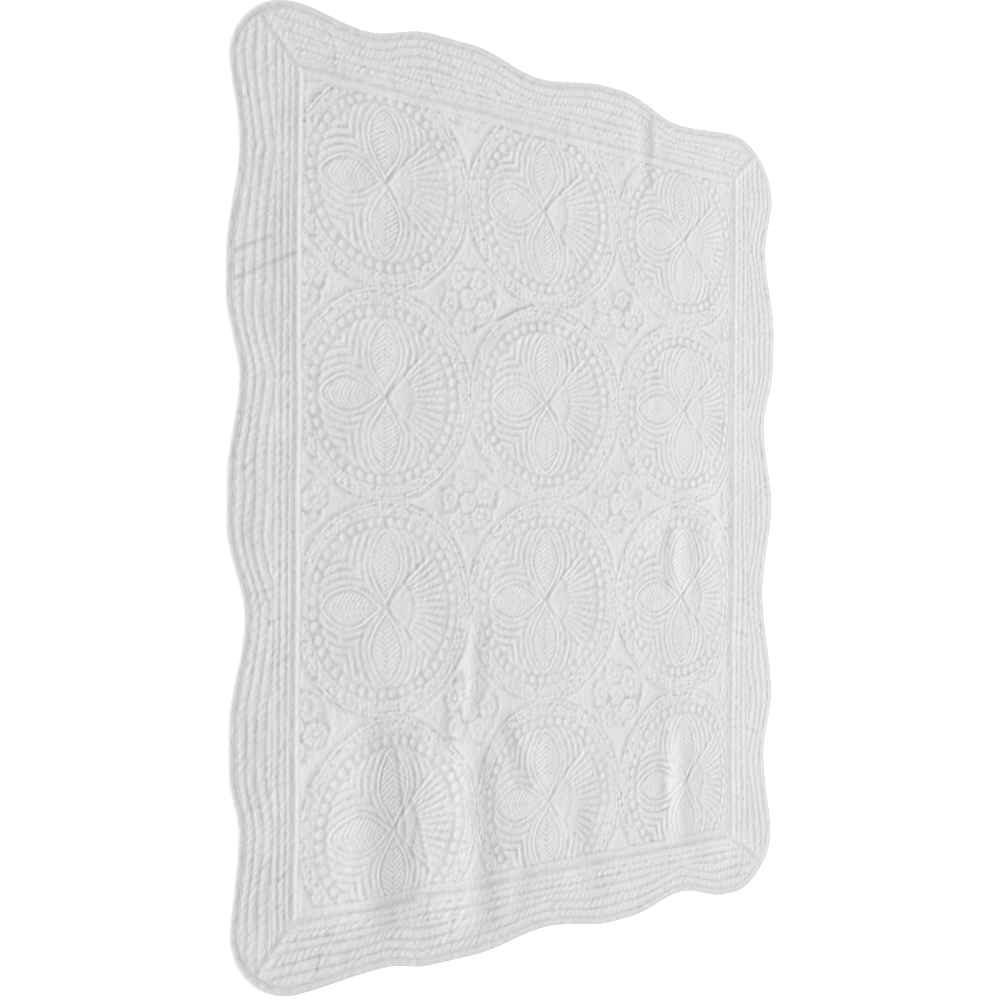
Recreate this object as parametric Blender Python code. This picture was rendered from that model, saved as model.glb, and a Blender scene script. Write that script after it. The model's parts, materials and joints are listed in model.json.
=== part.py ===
"""White quilted baby blanket, lying flat with its quilted face up.

Metres. X runs across the blanket, Y along it and Z up, with the origin at the middle of the underside.
A maker sews it from a quilted centre panel, four border strips that meet in mitres at the corners, and
a binding round the scalloped edge. Each piece is one solid: a flat outline filled with points that lie
on its quilted lines and on the puffs between them, raised by the relief, over a flat underside. Places
are worked out from the panel's middle. Every piece is then moved across to bring the middle of the
whole to the origin, and drawn in beside the right seam, which slants towards the foot.
"""

import bpy
import bmesh
import numpy as np
from mathutils import Vector, geometry

# The repeat of the quilted rounds sets the width. The length ends a little short of four repeats, with
# the rounds a little nearer the foot.
PITCH = 0.250
COLUMNS = 3
ROWS = 4
PANEL_HALF_WIDTH = COLUMNS * PITCH / 2
PANEL_HALF_LENGTH = 0.476
ROUNDS_SHIFT = -0.008
MOVE_ACROSS = 0.005
SEAM_DRAW = 0.0150
SEAM_DRAW_SLANT = 0.0073
DRAW_START = 0.310
END_REACH = 0.557
BORDER_WIDTH = 0.080
BINDING_WIDTH = 0.0105
BINDING_CROWN = 0.4 * BINDING_WIDTH
CORNER_RADIUS = 0.088
SEAM_GAP = 0.0003
FEATURE_MARGIN = 0.0022
RIM_STEP = 0.020
SEAM_STEP = 0.040
RAY_REACH = 1.3
STEPS_PER_REPEAT = 8
BISECTIONS = 40
MITRE_STEP = 0.012
MITRE_EASE = 0.020

# The scalloped edge, in mm: places along each side, and the edge's reach from the panel's middle there. It
# waves out about between two rounds and in beside the middle of one, never twice the same.
EDGE_MM = {
    "left": (
        (-500, -370, -300, -255, -140, -35, 10, 120, 215, 250, 375, 490),
        (455, 444, 456.5, 456.5, 438.5, 461.5, 461.5, 447.5, 464.5, 464.5, 449.5, 464.5),
    ),
    "right": (
        (-500, -365, -277, -130, 0, 110, 205, 255, 375, 455, 500),
        (444.5, 427.5, 445.5, 426.5, 447.5, 431, 452.5, 454.5, 435.5, 451.5, 450.5),
    ),
    "head": (
        (-375, -285, -185, -120, -16, 110, 135, 250, 375),
        (547, 536.5, 556.5, 557, 539, 554.5, 554.5, 529.5, 537.5),
    ),
    "foot": (
        (-375, -250, -185, -120, 0, 115, 150, 250, 340, 375),
        (554, 547, 556.5, 557, 543.5, 557, 556, 538.5, 556, 557),
    ),
}

# Heights over the underside, in mm.
SEAM_HEIGHT = 2.6
GROUND_HEIGHT = 4.2
PIPED_RIDGE_RISE = 1.3
PIPED_RIDGE_INSET = 0.007
PIPED_RIDGE_HALF_WIDTH = 0.003
SEAM_SLOPE = 0.004
BORDER_GROOVE_HEIGHT = 3.0
BORDER_PUFF_RISE = 2.0
BINDING_RIM_HEIGHT = 1.6
BINDING_CROWN_HEIGHT = 5.4

# Radii and widths of one quilted round, as shares of the repeat.
OUTER_RING = 0.494
PEARL_OUTSIDE = 0.432
PEARL_CIRCLE = 0.391
PEARL_INSIDE = 0.350
PEARL_COUNT = 44
LEAF_LENGTH = 0.350
LEAF_HALF_WIDTH = 0.092
LEAF_FULLNESS = 0.85
FAN_CUP = 0.137
FAN_RIBS = 10
FAN_HALF_ANGLE = np.pi / 4
CUP_CROWN = 0.6
LEAF_TURNS = (np.pi / 2, np.pi, -np.pi / 2)
DIAGONAL_TURNS = (np.pi / 4, 3 * np.pi / 4, -np.pi / 4, -3 * np.pi / 4)
LINE_HALF_WIDTH = 0.004
RING_HALF_WIDTH = 0.010
PEARL_FULLNESS = 1.15
FLOWER_DIP = 0.060
FLOWER_RING = 0.110
FLOWER_REACH = 0.165

# Where a round is charted: shares of a leaf's length, and of the inner circle's radius for the rest.
RING_POINTS = 32
LEAF_STEPS = np.linspace(0.12, 0.94, 6)
DIAGONAL_STEPS = np.array([0.29, 0.52, 0.74, 0.96])
ECHO_STEPS = np.array([0.61, 0.80, 0.93])
ECHO_ANGLES = np.radians([34.0, 30.0, 26.0])
RIB_STEPS = np.array([0.44, 0.96])
CUP_ANGLES = np.linspace(-0.8, 0.8, 5) * FAN_HALF_ANGLE
FLOWER_ANGLES = np.pi * np.arange(12) / 6

# Rises of its parts over their quilted lines, in mm.
RING_DIP = 1.3
LINE_DIP = 0.9
PEARL_RISE = 1.9
LEAF_RISE = 2.0
ECHO_RISE = 1.0
RIB_RISE = 1.3
CUP_RISE = 1.4
FLOWER_RISE = 1.5

# Straight channels beside the panel, then waved ones out to the binding.
STRAIGHT_CHANNELS = 3
STRAIGHT_CHANNEL = 0.010
STRAIGHT_WIDTH = STRAIGHT_CHANNELS * STRAIGHT_CHANNEL
WAVED_CHANNELS = 3
WAVED_CHANNEL = 0.014
WAVE_DEPTH = 0.0145
V_DEPTH = 0.012
V_SHARPNESS = 0.9
LEAST_CHANNEL = 0.0025

# Soft folds where the cloth doesn't lie quite flat: x and y of both ends, half width and rise, in mm.
FOLDS_MM = (
    (-244, -295, -212, -475, 22, -1.8),
    (-202, -275, -140, -545, 26, 2.2),
    (-158, -290, -138, -170, 9, -1.4),
    (171, 535, 171, 435, 10, -1.2),
    (-83, 190, 27, 235, 12, -0.9),
    (27, 235, 142, 265, 12, -0.9),
    (-288, 355, -158, 425, 13, -1.0),
    (-57, -290, -24, -355, 11, -1.0),
    (219, -310, 219, -390, 10, -1.3),
    (245, -355, 245, -455, 13, 1.5),
    (-438, 25, -423, -65, 16, -0.8),
    (332, 55, 352, -145, 24, 1.0),
    (62, -525, 42, -405, 20, 1.0),
)

# Each side: its outward direction, its direction along, and the half sizes of the panel seen from it.
SIDES = {
    "left": ((-1, 0), (0, 1), PANEL_HALF_WIDTH, PANEL_HALF_LENGTH),
    "right": ((1, 0), (0, 1), PANEL_HALF_WIDTH, PANEL_HALF_LENGTH),
    "head": ((0, 1), (1, 0), PANEL_HALF_LENGTH, PANEL_HALF_WIDTH),
    "foot": ((0, -1), (1, 0), PANEL_HALF_LENGTH, PANEL_HALF_WIDTH),
}

COTTON = (0.83, 0.83, 0.82, 1.0)
BINDING_COTTON = (0.80, 0.80, 0.79, 1.0)


def clear_scene():
    for obj in list(bpy.data.objects):
        bpy.data.objects.remove(obj, do_unlink=True)


def cloth_material(name, colour, roughness):
    """Plain white cotton as a Principled BSDF."""
    material = bpy.data.materials.new(name)
    material.use_nodes = True
    shader = material.node_tree.nodes["Principled BSDF"]
    shader.inputs["Base Color"].default_value = colour
    shader.inputs["Roughness"].default_value = roughness
    shader.inputs["Metallic"].default_value = 0.0
    return material


def edge_reach(side, along):
    """Reach of the scalloped edge at a place along a side: cosine waves through the table's places."""
    places, reach = np.array(EDGE_MM[side]) / 1000
    low = np.clip(np.searchsorted(places, along) - 1, 0, len(places) - 2)
    share = np.clip((along - places[low]) / (places[low + 1] - places[low]), 0, 1)
    share = (1 - np.cos(np.pi * share)) / 2
    return reach[low] * (1 - share) + reach[low + 1] * share


def side_places(side, along, out):
    """Blanket coordinates of places given by their distance along a side and out from the middle."""
    outward, forward, _, _ = SIDES[side]
    return along * forward[0] + out * outward[0], along * forward[1] + out * outward[1]


def edge_distance(x, y):
    """Distance in from the scalloped edge: the smaller of the two sides' own, rounded at a corner."""
    across = np.where(x < 0, edge_reach("left", y), edge_reach("right", y)) - np.abs(x)
    lengthwise = np.where(y < 0, edge_reach("foot", x), edge_reach("head", x)) - np.abs(y)
    corner_x = np.maximum(CORNER_RADIUS - across, 0)
    corner_y = np.maximum(CORNER_RADIUS - lengthwise, 0)
    rounded = CORNER_RADIUS - np.hypot(corner_x, corner_y)
    return np.minimum(rounded, np.minimum(across, lengthwise))


def drawn_in(x, y):
    """How far the cloth is drawn in: most along the right seam, less at its head, none at the binding."""
    most = SEAM_DRAW - SEAM_DRAW_SLANT * np.clip(y / PANEL_HALF_LENGTH, -1, 1)
    rising = np.clip((x - DRAW_START) / (PANEL_HALF_WIDTH - DRAW_START), 0, 1)
    stop = edge_reach("right", y) - BINDING_WIDTH
    falling = np.clip((stop - x) / (stop - PANEL_HALF_WIDTH), 0, 1)
    ends = np.clip((END_REACH - np.abs(y)) / (END_REACH - PANEL_HALF_LENGTH), 0, 1)
    return most * np.minimum(rising**2 * (3 - 2 * rising), falling) * ends


def rim_steps(side):
    """Number of steps along a side's edge, about 20 mm each, the same for the strip and its binding."""
    return int(round(2 * (SIDES[side][3] + BORDER_WIDTH) / RIM_STEP))


def rim_line(side, inset, count, clearance=0.0):
    """Points where the edge, moved in by an inset, meets rays that fan out from the panel to the mitres."""
    _, _, half_out, half_along = SIDES[side]
    share = np.linspace(-1, 1, count + 1)
    start = share * (half_along - clearance)
    stop = share * (half_along + BORDER_WIDTH - clearance)
    near = np.zeros_like(share)
    far = np.full_like(share, RAY_REACH)
    for _ in range(BISECTIONS):
        middle = (near + far) / 2
        x, y = side_places(side, start + middle * (stop - start), half_out + middle * BORDER_WIDTH)
        inside = edge_distance(x, y) > inset
        near = np.where(inside, middle, near)
        far = np.where(inside, far, middle)
    return side_places(side, start + near * (stop - start), half_out + near * BORDER_WIDTH)


def fold_rise(x, y):
    """Soft folds: each rises or sinks by a bell curve of the distance from its line."""
    rise = np.zeros_like(x)
    for ax, ay, bx, by, width, height in FOLDS_MM:
        ax, ay, bx, by, width = (value / 1000 for value in (ax, ay, bx, by, width))
        length_squared = (bx - ax) ** 2 + (by - ay) ** 2
        share = np.clip(((x - ax) * (bx - ax) + (y - ay) * (by - ay)) / length_squared, 0, 1)
        distance = np.hypot(x - ax - share * (bx - ax), y - ay - share * (by - ay))
        rise += height * np.exp(-0.5 * (distance / width) ** 2)
    return rise


def leaf_half_width(along):
    """Half width of a leaf at a share of its length: a sine arc, a little full."""
    return LEAF_HALF_WIDTH * np.sin(np.pi * np.clip(along / LEAF_LENGTH, 0, 1)) ** LEAF_FULLNESS


def round_rise(u, v):
    """Rise of one quilted round over the ground, in mm, from places in repeats from its middle."""
    radius = np.hypot(u, v)
    angle = np.arctan2(v, u)
    rise = -RING_DIP * np.exp(-0.5 * ((radius - OUTER_RING) / RING_HALF_WIDTH) ** 2)
    half_pitch = PEARL_CIRCLE * np.pi / PEARL_COUNT
    pearl_angle = (angle / (2 * np.pi) * PEARL_COUNT) % 1 - 0.5
    pearl_off = np.hypot(radius - PEARL_CIRCLE, 2 * half_pitch * pearl_angle)
    pearl = np.sqrt(np.clip(1 - (pearl_off / (half_pitch * PEARL_FULLNESS)) ** 2, 0, 1))
    in_pearls = (radius < PEARL_OUTSIDE + LINE_HALF_WIDTH) & (radius > PEARL_INSIDE - LINE_HALF_WIDTH)
    rise = np.where(in_pearls, PEARL_RISE * pearl - LINE_DIP, rise)
    inner = np.full_like(u, ECHO_RISE - LINE_DIP)
    for turn in DIAGONAL_TURNS:
        off = np.abs(radius * np.sin(angle - turn))
        inner = np.where((np.cos(angle - turn) > 0) & (off < LINE_HALF_WIDTH), -LINE_DIP, inner)
    for turn in LEAF_TURNS:
        along = u * np.cos(turn) + v * np.sin(turn)
        off = np.abs(-u * np.sin(turn) + v * np.cos(turn))
        width = leaf_half_width(along)
        crown = np.sqrt(np.clip(1 - (off / np.maximum(width, 1e-6)) ** 2, 0, 1))
        in_leaf = (along > 0) & (off < width + LINE_HALF_WIDTH)
        inner = np.where(in_leaf, LEAF_RISE * crown - LINE_DIP, inner)
    in_fan = (np.abs(angle) < FAN_HALF_ANGLE) & (radius > LINE_HALF_WIDTH)
    rib = (angle / (2 * FAN_HALF_ANGLE) + 0.5) * FAN_RIBS
    ribs = RIB_RISE * np.abs(np.sin(np.pi * rib))
    off_crown = np.abs(radius - FAN_CUP * CUP_CROWN) / (FAN_CUP * (1 - CUP_CROWN))
    cup = CUP_RISE * np.clip(1 - off_crown**2, 0, 1)
    inner = np.where(in_fan, np.where(radius > FAN_CUP, ribs, cup) - LINE_DIP, inner)
    inner = np.where(radius > PEARL_INSIDE - LINE_HALF_WIDTH, -LINE_DIP, inner)
    return np.where(radius < PEARL_INSIDE, inner, rise)


def flower_rise(u, v):
    """Rise of the flowers between four rounds: a middle head and six more round it."""
    radius = np.hypot(u, v)
    angle = np.arctan2(v, u)
    spread = (FLOWER_REACH - FLOWER_DIP) / 4
    heads = np.cos(3 * angle) ** 2 * np.exp(-0.5 * ((radius - FLOWER_RING) / spread) ** 2)
    middle = np.exp(-0.5 * (radius / (FLOWER_DIP / 2)) ** 2)
    return FLOWER_RISE * np.maximum(heads, middle)


def panel_height(x, y):
    """Height of the centre panel: rounds and flowers, a piped ridge just inside its seam, and folds."""
    column = np.clip(np.round(x / PITCH), -(COLUMNS - 1) / 2, (COLUMNS - 1) / 2)
    raised_y = (y - ROUNDS_SHIFT) / PITCH
    row = np.clip(np.round(raised_y - 0.5) + 0.5, -(ROWS - 1) / 2, (ROWS - 1) / 2)
    u = x / PITCH - column
    v = raised_y - row
    flower_u = x / PITCH - np.round(x / PITCH - 0.5) - 0.5
    flower_v = raised_y - np.round(raised_y)
    outside = np.hypot(u, v) > OUTER_RING + RING_HALF_WIDTH
    height = GROUND_HEIGHT + np.where(outside, flower_rise(flower_u, flower_v), round_rise(u, v))
    inset = np.minimum(PANEL_HALF_WIDTH - np.abs(x), PANEL_HALF_LENGTH - np.abs(y))
    off_ridge = (inset - PIPED_RIDGE_INSET) / PIPED_RIDGE_HALF_WIDTH
    height = height + PIPED_RIDGE_RISE * np.exp(-0.5 * off_ridge**2)
    seam = np.clip(inset / SEAM_SLOPE, 0, 1)
    return SEAM_HEIGHT + (height + fold_rise(x, y) - SEAM_HEIGHT) * seam


def border_height(side, x, y):
    """Height of a border strip: puffs between its straight and waved channels, low at every seam."""
    _, forward, half_out, half_along = SIDES[side]
    along = x * forward[0] + y * forward[1]
    out = np.abs(x) if side in ("left", "right") else np.abs(y)
    straight = out - half_out
    phase = straight / STRAIGHT_CHANNEL
    waved = (waved_distance(side, along, out) - BINDING_WIDTH) / WAVED_CHANNEL
    puff = np.where(straight < STRAIGHT_WIDTH, np.abs(np.sin(np.pi * phase)), np.abs(np.sin(np.pi * waved)))
    height = BORDER_GROOVE_HEIGHT + BORDER_PUFF_RISE * puff + fold_rise(x, y)
    mitre = (half_along + straight - np.abs(along)) / np.sqrt(2)
    nearest = np.minimum(np.minimum(straight, mitre), edge_distance(x, y) - BINDING_WIDTH)
    return SEAM_HEIGHT + (height - SEAM_HEIGHT) * np.clip(nearest / SEAM_SLOPE, 0, 1)


def repeats_from_valley(side, along):
    """Place along a side in repeats, counted from a valley: the middle of a round stands beside it."""
    return along / PITCH - (0.0 if side in ("head", "foot") else 0.5)


def valley_share(side, along):
    """How far a channel waves in: 1 in a valley and 0 on a bulge, with a sharp V in each valley."""
    return 1 - np.abs(np.sin(np.pi * repeats_from_valley(side, along))) ** V_SHARPNESS


def waved_distance(side, along, out):
    """Distance in from the edge that the waved channels follow: the edge's waves, drawn to a V."""
    inset = edge_reach(side, along) - out
    ease = np.clip((inset - BINDING_WIDTH) / WAVED_CHANNEL, 0, 1)
    smooth = (1 + np.cos(2 * np.pi * repeats_from_valley(side, along))) / 2
    return inset - ease * (V_DEPTH * valley_share(side, along) - WAVE_DEPTH * smooth)


def binding_height(x, y):
    """Height of the binding: a soft roll, highest a little way in from its outer edge."""
    inset = edge_distance(x, y)
    outer = np.sqrt(np.clip(1 - (1 - inset / BINDING_CROWN) ** 2, 0, 1))
    rolled = BINDING_RIM_HEIGHT + (BINDING_CROWN_HEIGHT - BINDING_RIM_HEIGHT) * outer
    past_crown = (inset - BINDING_CROWN) / (BINDING_WIDTH - BINDING_CROWN)
    lowered = BINDING_CROWN_HEIGHT - (BINDING_CROWN_HEIGHT - SEAM_HEIGHT) * past_crown**2
    return np.where(inset < BINDING_CROWN, rolled, lowered)


class Chart:
    """Points and constraint edges of one flat piece before it is filled with triangles."""

    def __init__(self, keep):
        self.points = []
        self.edges = []
        self.keep = keep

    def outline(self, x, y):
        first = len(self.points)
        self.points += zip(x, y)
        self.rim = list(range(first, len(self.points)))

    def line(self, x, y, closed=False):
        """Adds the points that the piece holds, each joined to the one before it where both are kept."""
        kept = self.keep(x, y)
        index = np.where(kept, len(self.points) + np.cumsum(kept) - 1, -1)
        self.points += [(x[k], y[k]) for k in np.flatnonzero(kept)]
        follower = np.roll(index, -1) if closed else index[1:]
        pairs = zip(index, follower)
        self.edges += [(int(a), int(b)) for a, b in pairs if a >= 0 and b >= 0]


def chart_round(chart, centre_x, centre_y):
    """Lines of one quilted round: its rings, pearls, three leaves, diagonals and ribbed fan."""

    def polar(radius, angle, closed=False):
        radius = np.broadcast_to(radius, angle.shape)
        chart.line(
            centre_x + PITCH * radius * np.cos(angle), centre_y + PITCH * radius * np.sin(angle), closed
        )

    between = 2 * np.pi * np.arange(PEARL_COUNT) / PEARL_COUNT
    pearl_steps = np.pi * np.arange(2 * PEARL_COUNT) / PEARL_COUNT
    polar(OUTER_RING, 2 * np.pi * np.arange(RING_POINTS) / RING_POINTS, closed=True)
    polar(PEARL_OUTSIDE, between, closed=True)
    polar(PEARL_CIRCLE, pearl_steps, closed=True)
    polar(PEARL_INSIDE, between, closed=True)
    for turn in LEAF_TURNS:
        along = LEAF_LENGTH * LEAF_STEPS
        for off_share in (-1.0, 0.0, 1.0):
            off = off_share * leaf_half_width(along)
            polar(np.hypot(along, off), turn + np.arctan2(off, along))
    for turn in DIAGONAL_TURNS:
        polar(PEARL_INSIDE * DIAGONAL_STEPS, np.full(len(DIAGONAL_STEPS), turn))
    for turn in LEAF_TURNS:
        for side in (-1, 1):
            polar(PEARL_INSIDE * ECHO_STEPS, turn + side * ECHO_ANGLES)
    polar(FAN_CUP, CUP_ANGLES)
    polar(FAN_CUP * CUP_CROWN, CUP_ANGLES[1::2])
    for step in range(1, 2 * FAN_RIBS):
        angle = FAN_HALF_ANGLE * (step / FAN_RIBS - 1)
        polar(PEARL_INSIDE * RIB_STEPS, np.full(len(RIB_STEPS), angle))
    polar(np.zeros(1), np.zeros(1))


def chart_flowers(chart, centre_x, centre_y):
    """Points of the flowers between four rounds: a middle, six heads with dips between, and the ground."""
    chart.line(np.array([centre_x]), np.array([centre_y]))
    for radius in (FLOWER_DIP, FLOWER_RING, FLOWER_REACH):
        x = centre_x + PITCH * radius * np.cos(FLOWER_ANGLES)
        y = centre_y + PITCH * radius * np.sin(FLOWER_ANGLES)
        chart.line(x, y, closed=True)


def filled_solid(name, chart, height_of, material, collection):
    """One closed solid: the chart filled with triangles, raised by its height, over a flat underside."""
    outcome = geometry.delaunay_2d_cdt(
        [Vector(point) for point in chart.points], chart.edges, [chart.rim], 1, 1e-6
    )
    flat = np.array([tuple(point) for point in outcome[0]])
    height = height_of(flat[:, 0], flat[:, 1]) / 1000
    shape = bmesh.new()
    placed_x = flat[:, 0] + MOVE_ACROSS - drawn_in(flat[:, 0], flat[:, 1])
    under = [shape.verts.new((x, y, 0.0)) for x, y in zip(placed_x, flat[:, 1])]
    for corners in outcome[2]:
        shape.faces.new([under[k] for k in corners])
    bottom = list(shape.faces)
    grown = bmesh.ops.extrude_face_region(shape, geom=bottom, use_keep_orig=True)
    raised = {}
    for item in grown["geom"]:
        if isinstance(item, bmesh.types.BMVert):
            raised[(round(item.co.x, 7), round(item.co.y, 7))] = item
    for vert, rise in zip(under, height):
        raised[(round(vert.co.x, 7), round(vert.co.y, 7))].co.z = rise
    bmesh.ops.dissolve_faces(shape, faces=bottom, use_verts=False)
    bmesh.ops.recalc_face_normals(shape, faces=shape.faces)
    mesh = bpy.data.meshes.new(name)
    shape.to_mesh(mesh)
    shape.free()
    mesh.materials.append(material)
    obj = bpy.data.objects.new(name, mesh)
    collection.objects.link(obj)
    return obj


def build_panel(material, collection):
    """The quilted centre panel: twelve rounds on a square repeat, cut short at the head and foot."""
    half_x = PANEL_HALF_WIDTH - SEAM_GAP / 2
    half_y = PANEL_HALF_LENGTH - SEAM_GAP / 2

    def inside(x, y):
        return (np.abs(x) < half_x - FEATURE_MARGIN) & (np.abs(y) < half_y - FEATURE_MARGIN)

    chart = Chart(inside)
    across = half_x * np.linspace(-1, 1, STEPS_PER_REPEAT * COLUMNS + 1)[:-1]
    lengthwise = half_y * np.linspace(-1, 1, STEPS_PER_REPEAT * ROWS + 1)[:-1]
    end_x, end_y = np.full_like(lengthwise, half_x), np.full_like(across, half_y)
    rim_x = np.concatenate([across, end_x, -across, -end_x])
    rim_y = np.concatenate([-end_y, lengthwise, end_y, -lengthwise])
    chart.outline(rim_x, rim_y)
    ridge_x = rim_x * (1 - PIPED_RIDGE_INSET / half_x)
    ridge_y = rim_y * (1 - PIPED_RIDGE_INSET / half_y)
    chart.line(ridge_x, ridge_y, closed=True)
    for row in range(ROWS):
        centre_y = (row - (ROWS - 1) / 2) * PITCH + ROUNDS_SHIFT
        for column in range(COLUMNS):
            chart_round(chart, (column - (COLUMNS - 1) / 2) * PITCH, centre_y)
    for row in range(ROWS - 1):
        centre_y = (row - (ROWS - 2) / 2) * PITCH + ROUNDS_SHIFT
        for column in range(COLUMNS + 1):
            chart_flowers(chart, (column - COLUMNS / 2) * PITCH, centre_y)
    return filled_solid("centre_panel", chart, panel_height, material, collection)


def channel_steps(half_along):
    """Places along a strip where its channels are charted: an eighth of a repeat, closer at the mitres."""
    middle = np.arange(-half_along + MITRE_EASE, half_along - MITRE_EASE, PITCH / STEPS_PER_REPEAT)
    end = np.arange(half_along - MITRE_EASE / 2, half_along + BORDER_WIDTH, MITRE_STEP)
    return np.concatenate([-end[::-1], middle, end])


def build_border(side, material, collection):
    """One border strip, from the panel's seam out to the binding and from mitre to mitre."""
    _, forward, half_out, half_along = SIDES[side]

    def inside(x, y):
        along = np.abs(x * forward[0] + y * forward[1])
        straight = np.abs(x * (1 - forward[0])) + np.abs(y * (1 - forward[1])) - half_out
        mitre = (half_along + straight - along) / np.sqrt(2)
        return (
            (straight > FEATURE_MARGIN)
            & (mitre > FEATURE_MARGIN)
            & (edge_distance(x, y) > BINDING_WIDTH + FEATURE_MARGIN)
        )

    chart = Chart(inside)
    clearance = SEAM_GAP / np.sqrt(2)
    steps = int(round(2 * half_along / SEAM_STEP))
    seam_along = np.linspace(-1, 1, steps + 1) * (half_along + SEAM_GAP / 2 - clearance)
    seam_x, seam_y = side_places(side, seam_along, np.full_like(seam_along, half_out + SEAM_GAP / 2))
    rim_x, rim_y = rim_line(side, BINDING_WIDTH + SEAM_GAP / 2, rim_steps(side), clearance)
    chart.outline(np.concatenate([seam_x, rim_x[::-1]]), np.concatenate([seam_y, rim_y[::-1]]))
    along = channel_steps(half_along)
    for step in range(1, 2 * STRAIGHT_CHANNELS + 1):
        out = np.full_like(along, half_out + step * STRAIGHT_CHANNEL / 2)
        chart.line(*side_places(side, along, out))
    for step in range(1, 2 * WAVED_CHANNELS):
        target = BINDING_WIDTH + step * WAVED_CHANNEL / 2
        near, far = np.full_like(along, half_out), np.full_like(along, half_out + 2 * BORDER_WIDTH)
        for _ in range(BISECTIONS):
            middle = (near + far) / 2
            too_far_in = waved_distance(side, along, middle) > target
            near, far = np.where(too_far_in, middle, near), np.where(too_far_in, far, middle)
        keep = near > half_out + STRAIGHT_WIDTH + LEAST_CHANNEL
        out = np.where(keep, near, 0.0)
        chart.line(*side_places(side, along, out))
    return filled_solid(
        "border_" + side, chart, lambda x, y: border_height(side, x, y), material, collection
    )


def build_binding(side, material, collection):
    """One length of binding, from corner to corner round the scallops."""
    count = rim_steps(side)
    clearance = SEAM_GAP / np.sqrt(2)
    chart = Chart(lambda x, y: edge_distance(x, y) > BINDING_CROWN / 2)
    inner_x, inner_y = rim_line(side, BINDING_WIDTH - SEAM_GAP / 2, count, clearance)
    outer_x, outer_y = rim_line(side, 0.0, count, clearance)
    crown_x, crown_y = rim_line(side, BINDING_CROWN, count, clearance)
    chart.outline(
        np.concatenate([inner_x, [crown_x[-1]], outer_x[::-1], [crown_x[0]]]),
        np.concatenate([inner_y, [crown_y[-1]], outer_y[::-1], [crown_y[0]]]),
    )
    chart.line(crown_x[1:-1], crown_y[1:-1])
    return filled_solid("binding_" + side, chart, binding_height, material, collection)


def main():
    clear_scene()
    collection = bpy.data.collections.new("baby_blanket")
    bpy.context.scene.collection.children.link(collection)
    quilted = cloth_material("quilted cotton", COTTON, 0.92)
    border = cloth_material("channel quilted cotton", COTTON, 0.90)
    bias = cloth_material("bias cotton", BINDING_COTTON, 0.88)
    build_panel(quilted, collection)
    for side in SIDES:
        build_border(side, border, collection)
        build_binding(side, bias, collection)


main()
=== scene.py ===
"""Looks of the quilted baby blanket, which lies flat with its quilted face up.

Metres, in the frame of the solids: X across, Y along, Z up, the underside at Z = 0. Each cloth is a
surface of two parameters, worked out on a grid as whole arrays. Heights of the relief are in millimetres
over the underside, and so are the sizes of the quilted motifs. In the formulas a noise stands with its
rise, its size and its seed, and a stitched line or fold with its rise and its half width, all in mm.
"""

import json

import bmesh
import bpy
import numpy as np
from mathutils import Matrix, Vector

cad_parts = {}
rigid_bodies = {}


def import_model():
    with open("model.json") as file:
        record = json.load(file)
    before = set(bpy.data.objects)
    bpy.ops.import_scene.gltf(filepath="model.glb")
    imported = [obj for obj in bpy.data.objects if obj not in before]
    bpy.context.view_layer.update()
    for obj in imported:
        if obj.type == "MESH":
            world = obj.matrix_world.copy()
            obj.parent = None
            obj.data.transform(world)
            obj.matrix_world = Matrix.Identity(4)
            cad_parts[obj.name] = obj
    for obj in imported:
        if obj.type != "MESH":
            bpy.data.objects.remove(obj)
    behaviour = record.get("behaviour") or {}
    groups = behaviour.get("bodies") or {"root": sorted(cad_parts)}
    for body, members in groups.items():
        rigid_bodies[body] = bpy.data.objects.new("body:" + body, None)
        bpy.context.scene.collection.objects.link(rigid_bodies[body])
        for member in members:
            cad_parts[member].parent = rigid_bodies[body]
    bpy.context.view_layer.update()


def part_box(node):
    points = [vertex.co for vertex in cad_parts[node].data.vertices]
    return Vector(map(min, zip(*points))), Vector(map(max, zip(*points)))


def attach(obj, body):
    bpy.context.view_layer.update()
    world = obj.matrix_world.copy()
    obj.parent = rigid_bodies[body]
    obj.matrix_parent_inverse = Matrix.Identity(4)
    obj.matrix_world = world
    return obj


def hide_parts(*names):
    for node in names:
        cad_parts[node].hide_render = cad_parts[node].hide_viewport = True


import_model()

bl_info = {
    "name": "Quilted baby blanket",
    "version": (1, 0, 0),
    "blender": (4, 5, 0),
    "location": "3D View > Sidebar > Blanket",
    "description": "Makes the cloths of a quilted baby blanket over its solids, with a plain stage",
    "category": "Object",
}

# The repeat of the rounds in mm, how many there are across and along, and how far they lie towards the
# foot in mm.
REPEAT = 250
COLUMNS, ROWS = 3, 4
ROUNDS_SHIFT = -8.0

# The panel before it is drawn in, and the gap between two cloths.
SEAM_GAP = 0.0001
PANEL_LOW, PANEL_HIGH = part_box("centre_panel")
PANEL_HALF_WIDTH = COLUMNS * REPEAT / 2000
PANEL_HALF_LENGTH = (PANEL_HIGH[1] - PANEL_LOW[1] + SEAM_GAP) / 2

# Places are worked out from the panel's middle. Each cloth is then moved across, as the solids are, and
# drawn in beside the right seam: by how much at its middle, how much more at its foot than there, the
# place across where the draw begins, how far in from the edge it ends, and its reach lengthwise.
MOVE_ACROSS = 0.005
SEAM_DRAW = 0.0150
SEAM_DRAW_SLANT = 0.0073
DRAW_START = 0.310
DRAW_END_INSET = 0.0105
END_REACH = 0.557

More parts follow.
